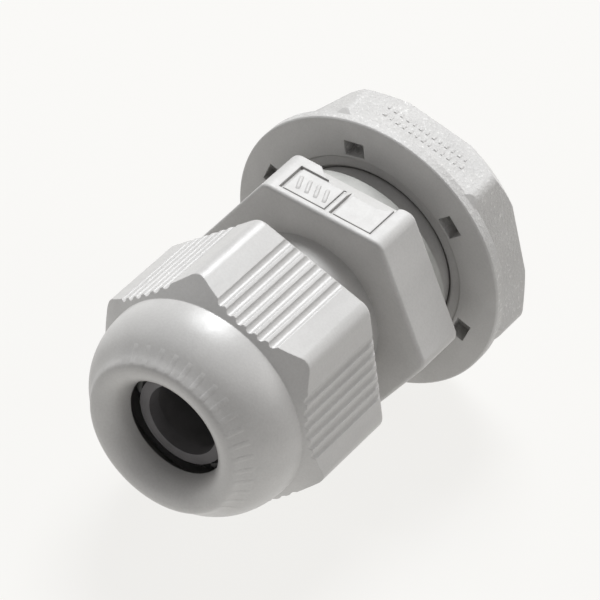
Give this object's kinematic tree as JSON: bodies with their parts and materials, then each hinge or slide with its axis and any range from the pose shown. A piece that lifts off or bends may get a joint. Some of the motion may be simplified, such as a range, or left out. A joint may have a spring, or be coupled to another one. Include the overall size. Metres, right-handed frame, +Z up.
{
  "type": "cable gland",
  "caption": "Plastic cable gland: hexagonal body with a domed cap nut, clamping fingers, a rubber sealing bush, a flat gasket and a lock nut for a panel hole.",
  "frame": {"origin": "on the gland's axis, at the outer face of the panel it is fixed to, which is the rear face of the gasket", "axes": "+Y along the axis into the enclosure (towards the lock nut), -Y out of the domed cap nut, +Z up and square to the body's flat with the two shallow label panels, +X to the right seen from the dome"},
  "size_m": [0.0248, 0.034, 0.0246],
  "materials": {
    "body_plastic": "satin moulded polyamide",
    "cap_plastic": "satin moulded polyamide",
    "lock_nut_plastic": "fine grained moulded polyamide",
    "insert_plastic": "satin moulded polyamide",
    "gasket_grey": "smooth grey rubber",
    "seal_rubber": "smooth black rubber"
  },
  "bodies": {
    "gland_body": {"gland_body": "body_plastic", "clamping_ring": "insert_plastic"},
    "gasket": {"flat_gasket": "gasket_grey"},
    "lock_nut": {"lock_nut": "lock_nut_plastic"},
    "sealing_bush": {"sealing_bush": "seal_rubber"},
    "cap_nut": {"cap_nut": "cap_plastic"},
    "finger_01": {"clamping_finger_01": "insert_plastic"},
    "finger_02": {"clamping_finger_02": "insert_plastic"},
    "finger_03": {"clamping_finger_03": "insert_plastic"},
    "finger_04": {"clamping_finger_04": "insert_plastic"},
    "finger_05": {"clamping_finger_05": "insert_plastic"},
    "finger_06": {"clamping_finger_06": "insert_plastic"},
    "finger_07": {"clamping_finger_07": "insert_plastic"},
    "finger_08": {"clamping_finger_08": "insert_plastic"},
    "finger_09": {"clamping_finger_09": "insert_plastic"},
    "finger_10": {"clamping_finger_10": "insert_plastic"},
    "finger_11": {"clamping_finger_11": "insert_plastic"},
    "finger_12": {"clamping_finger_12": "insert_plastic"},
    "finger_13": {"clamping_finger_13": "insert_plastic"},
    "finger_14": {"clamping_finger_14": "insert_plastic"}
  },
  "joints": [
    {"name": "lock_nut_turn", "type": "hinge", "parent": "gland_body", "child": "gasket", "pos_m": [0, 0, 0], "axis": [0, -1, 0], "range_deg": [-1083, 2]},
    {"name": "lock_nut_travel", "type": "slide", "parent": "gasket", "child": "lock_nut", "axis": [0, -1, 0], "range_m": [-0.00423, 0]},
    {"name": "cap_nut_travel", "type": "slide", "parent": "gland_body", "child": "sealing_bush", "axis": [0, 1, 0], "range_m": [-0.003, 0.0015]},
    {"name": "cap_nut_turn", "type": "hinge", "parent": "sealing_bush", "child": "cap_nut", "pos_m": [0, -0.018, 0], "axis": [0, 1, 0], "range_deg": [-726, 366]},
    {"name": "finger_01_bend", "type": "hinge", "parent": "gland_body", "child": "finger_01", "pos_m": [-0.00118, -0.0171, -0.00532], "axis": [-0.9763, 0, 0.2164], "range_deg": [-11.3, 5.8]},
    {"name": "finger_02_bend", "type": "hinge", "parent": "gland_body", "child": "finger_02", "pos_m": [0.00125, -0.0171, -0.00531], "axis": [-0.9735, 0, -0.2286], "range_deg": [-11.3, 5.8]},
    {"name": "finger_03_bend", "type": "hinge", "parent": "gland_body", "child": "finger_03", "pos_m": [0.00342, -0.0171, -0.00424], "axis": [-0.7779, 0, -0.6284], "range_deg": [-11.3, 5.8]},
    {"name": "finger_04_bend", "type": "hinge", "parent": "gland_body", "child": "finger_04", "pos_m": [0.00492, -0.0171, -0.00233], "axis": [-0.4283, 0, -0.9037], "range_deg": [-11.3, 5.8]},
    {"name": "finger_05_bend", "type": "hinge", "parent": "gland_body", "child": "finger_05", "pos_m": [0.00545, -0.0171, 0.00003], "axis": [0.0062, 0, -1], "range_deg": [-11.3, 5.8]},
    {"name": "finger_06_bend", "type": "hinge", "parent": "gland_body", "child": "finger_06", "pos_m": [0.0049, -0.0171, 0.0024], "axis": [0.4395, 0, -0.8982], "range_deg": [-11.3, 5.8]},
    {"name": "finger_07_bend", "type": "hinge", "parent": "gland_body", "child": "finger_07", "pos_m": [0.00337, -0.0171, 0.00428], "axis": [0.7857, 0, -0.6186], "range_deg": [-11.3, 5.8]},
    {"name": "finger_08_bend", "type": "hinge", "parent": "gland_body", "child": "finger_08", "pos_m": [0.00118, -0.0171, 0.00532], "axis": [0.9763, 0, -0.2164], "range_deg": [-11.3, 5.8]},
    {"name": "finger_09_bend", "type": "hinge", "parent": "gland_body", "child": "finger_09", "pos_m": [-0.00125, -0.0171, 0.00531], "axis": [0.9735, 0, 0.2286], "range_deg": [-11.3, 5.8]},
    {"name": "finger_10_bend", "type": "hinge", "parent": "gland_body", "child": "finger_10", "pos_m": [-0.00342, -0.0171, 0.00424], "axis": [0.7779, 0, 0.6284], "range_deg": [-11.3, 5.8]},
    {"name": "finger_11_bend", "type": "hinge", "parent": "gland_body", "child": "finger_11", "pos_m": [-0.00492, -0.0171, 0.00233], "axis": [0.4283, 0, 0.9037], "range_deg": [-11.3, 5.8]},
    {"name": "finger_12_bend", "type": "hinge", "parent": "gland_body", "child": "finger_12", "pos_m": [-0.00545, -0.0171, -0.00003], "axis": [-0.0062, 0, 1], "range_deg": [-11.3, 5.8]},
    {"name": "finger_13_bend", "type": "hinge", "parent": "gland_body", "child": "finger_13", "pos_m": [-0.0049, -0.0171, -0.0024], "axis": [-0.4395, 0, 0.8982], "range_deg": [-11.3, 5.8]},
    {"name": "finger_14_bend", "type": "hinge", "parent": "gland_body", "child": "finger_14", "pos_m": [-0.00337, -0.0171, -0.00428], "axis": [-0.7857, 0, 0.6186], "range_deg": [-11.3, 5.8]}
  ],
  "couplings": [
    {"joint": "lock_nut_turn", "follows": "lock_nut_travel", "rad_per_m": 4452.7},
    {"joint": "cap_nut_turn", "follows": "cap_nut_travel", "rad_per_m": 4188.8},
    {"joint": "finger_01_bend", "follows": "cap_nut_travel", "rad_per_m": 63.995},
    {"joint": "finger_02_bend", "follows": "cap_nut_travel", "rad_per_m": 63.995},
    {"joint": "finger_03_bend", "follows": "cap_nut_travel", "rad_per_m": 63.995},
    {"joint": "finger_04_bend", "follows": "cap_nut_travel", "rad_per_m": 63.995},
    {"joint": "finger_05_bend", "follows": "cap_nut_travel", "rad_per_m": 63.995},
    {"joint": "finger_06_bend", "follows": "cap_nut_travel", "rad_per_m": 63.995},
    {"joint": "finger_07_bend", "follows": "cap_nut_travel", "rad_per_m": 63.995},
    {"joint": "finger_08_bend", "follows": "cap_nut_travel", "rad_per_m": 63.995},
    {"joint": "finger_09_bend", "follows": "cap_nut_travel", "rad_per_m": 63.995},
    {"joint": "finger_10_bend", "follows": "cap_nut_travel", "rad_per_m": 63.995},
    {"joint": "finger_11_bend", "follows": "cap_nut_travel", "rad_per_m": 63.995},
    {"joint": "finger_12_bend", "follows": "cap_nut_travel", "rad_per_m": 63.995},
    {"joint": "finger_13_bend", "follows": "cap_nut_travel", "rad_per_m": 63.995},
    {"joint": "finger_14_bend", "follows": "cap_nut_travel", "rad_per_m": 63.995}
  ]
}
